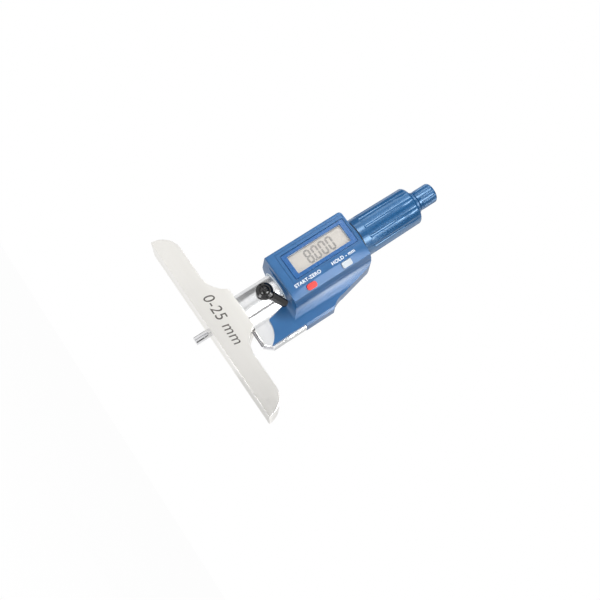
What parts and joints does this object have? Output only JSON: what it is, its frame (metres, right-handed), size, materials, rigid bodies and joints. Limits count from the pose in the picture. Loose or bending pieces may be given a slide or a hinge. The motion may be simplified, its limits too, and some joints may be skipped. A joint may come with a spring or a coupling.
{
  "type": "depth gauge",
  "caption": "Digital micrometer depth gauge: a beam that straddles a hole, a measuring rod fed by a screw, a display housing, a spindle lock and a ratchet.",
  "frame": {"origin": "where the axis of the measuring rod crosses the ground face of the beam", "axes": "+Z along the rod from the ground face to the ratchet knob, X along the beam, the display faces -Y"},
  "size_m": [0.1016, 0.0302, 0.1396],
  "materials": {
    "beam_steel": "satin, fine ground",
    "frame_steel": "satin chromed",
    "spindle_steel": "ground",
    "rod_steel": "polished",
    "sleeve_steel": "satin",
    "spring_steel": "plain",
    "screw_steel": "plain",
    "cell_steel": "satin",
    "bronze": "turned",
    "contact_gold": "plated",
    "housing_blue": "satin",
    "bezel_blue": "satin",
    "grip_blue": "anodised satin",
    "collar_blue": "anodised satin",
    "cap_blue": "satin",
    "lever_black": "gloss",
    "screw_black": "blackened",
    "button_red": "gloss",
    "button_white": "gloss",
    "clear_window": "clear",
    "display_panel": "display glass, grey-beige",
    "board_green": "lacquered",
    "chip_black": "moulded",
    "ribbon_amber": "film",
    "washer_white": "smooth",
    "seal_rubber": "matt"
  },
  "bodies": {
    "frame": {"base": "beam_steel", "rod_guide_bush": "bronze", "base_screw": "screw_steel", "frame_body": "frame_steel", "spindle_guide_bush": "bronze", "spindle_nut": "bronze", "adjusting_nut": "bronze", "inner_sleeve": "sleeve_steel", "stator_screw_1": "screw_steel", "stator_screw_2": "screw_steel", "encoder_stator": "board_green", "thrust_washer": "washer_white", "disc_spring": "spring_steel", "front_cover": "housing_blue", "rear_cover": "housing_blue", "cover_screw_1": "screw_steel", "cover_screw_2": "screw_steel", "cover_screw_3": "screw_steel", "cover_screw_4": "screw_steel", "bezel": "bezel_blue", "display_window": "clear_window", "lcd_panel": "display_panel", "zebra_strip_1": "seal_rubber", "zebra_strip_2": "seal_rubber", "main_board": "board_green", "board_screw_1": "screw_steel", "board_screw_2": "screw_steel", "board_chip": "chip_black", "flex_ribbon": "ribbon_amber", "key_board": "board_green", "key_board_screw_1": "screw_steel", "tact_switch_1": "chip_black", "tact_switch_2": "chip_black", "coin_cell": "cell_steel", "negative_contact": "contact_gold", "positive_contact": "contact_gold", "cap_seal": "seal_rubber", "lock_pad": "bronze"},
    "rotor": {"encoder_rotor": "board_green", "rotor_bush": "bronze", "rotor_key": "spindle_steel"},
    "spindle": {"spindle": "spindle_steel", "measuring_rod": "rod_steel", "rod_clamp_nut": "bronze", "thimble_core": "sleeve_steel", "thimble_grip": "grip_blue", "ratchet_collar": "collar_blue", "ratchet_disc": "spindle_steel", "ratchet_spring": "spring_steel", "ratchet_screw": "screw_steel"},
    "ratchet": {"ratchet_knob": "grip_blue", "knob_cap": "grip_blue", "ratchet_drive_disc": "spindle_steel"},
    "lock": {"lock_shaft": "screw_steel", "lock_lever": "lever_black", "lock_screw": "screw_black"},
    "red_button": {"red_button": "button_red"},
    "white_button": {"white_button": "button_white"},
    "battery_cap": {"battery_cap": "cap_blue"}
  },
  "joints": [
    {"name": "thimble_turn", "type": "hinge", "parent": "frame", "child": "rotor", "pos_m": [0, 0, 0.0575], "axis": [0, 0, 1], "range_deg": [0, 18000]},
    {"name": "spindle_feed", "type": "slide", "parent": "rotor", "child": "spindle", "axis": [0, 0, 1], "range_m": [0, 0.025]},
    {"name": "ratchet_turn", "type": "hinge", "parent": "spindle", "child": "ratchet", "pos_m": [0, 0, 0.126], "axis": [0, 0, 1], "continuous": true},
    {"name": "lock_turn", "type": "hinge", "parent": "frame", "child": "lock", "pos_m": [0, -0.0095, 0.0313], "axis": [0, 1, 0], "range_deg": [0, 60]},
    {"name": "red_press", "type": "slide", "parent": "frame", "child": "red_button", "axis": [-0.4281, 0.9037, 0], "range_m": [0, 0.0005], "stiffness_N_per_m": 1500, "springref_m": -0.0005},
    {"name": "white_press", "type": "slide", "parent": "frame", "child": "white_button", "axis": [-0.4281, 0.9037, 0], "range_m": [0, 0.0005], "stiffness_N_per_m": 1500, "springref_m": -0.0005},
    {"name": "battery_cap_turn", "type": "hinge", "parent": "frame", "child": "battery_cap", "pos_m": [0, 0.014, 0.0477], "axis": [0, 1, 0], "range_deg": [0, 90]}
  ],
  "couplings": [
    {"joint": "thimble_turn", "follows": "spindle_feed", "rad_per_m": 12566}
  ]
}
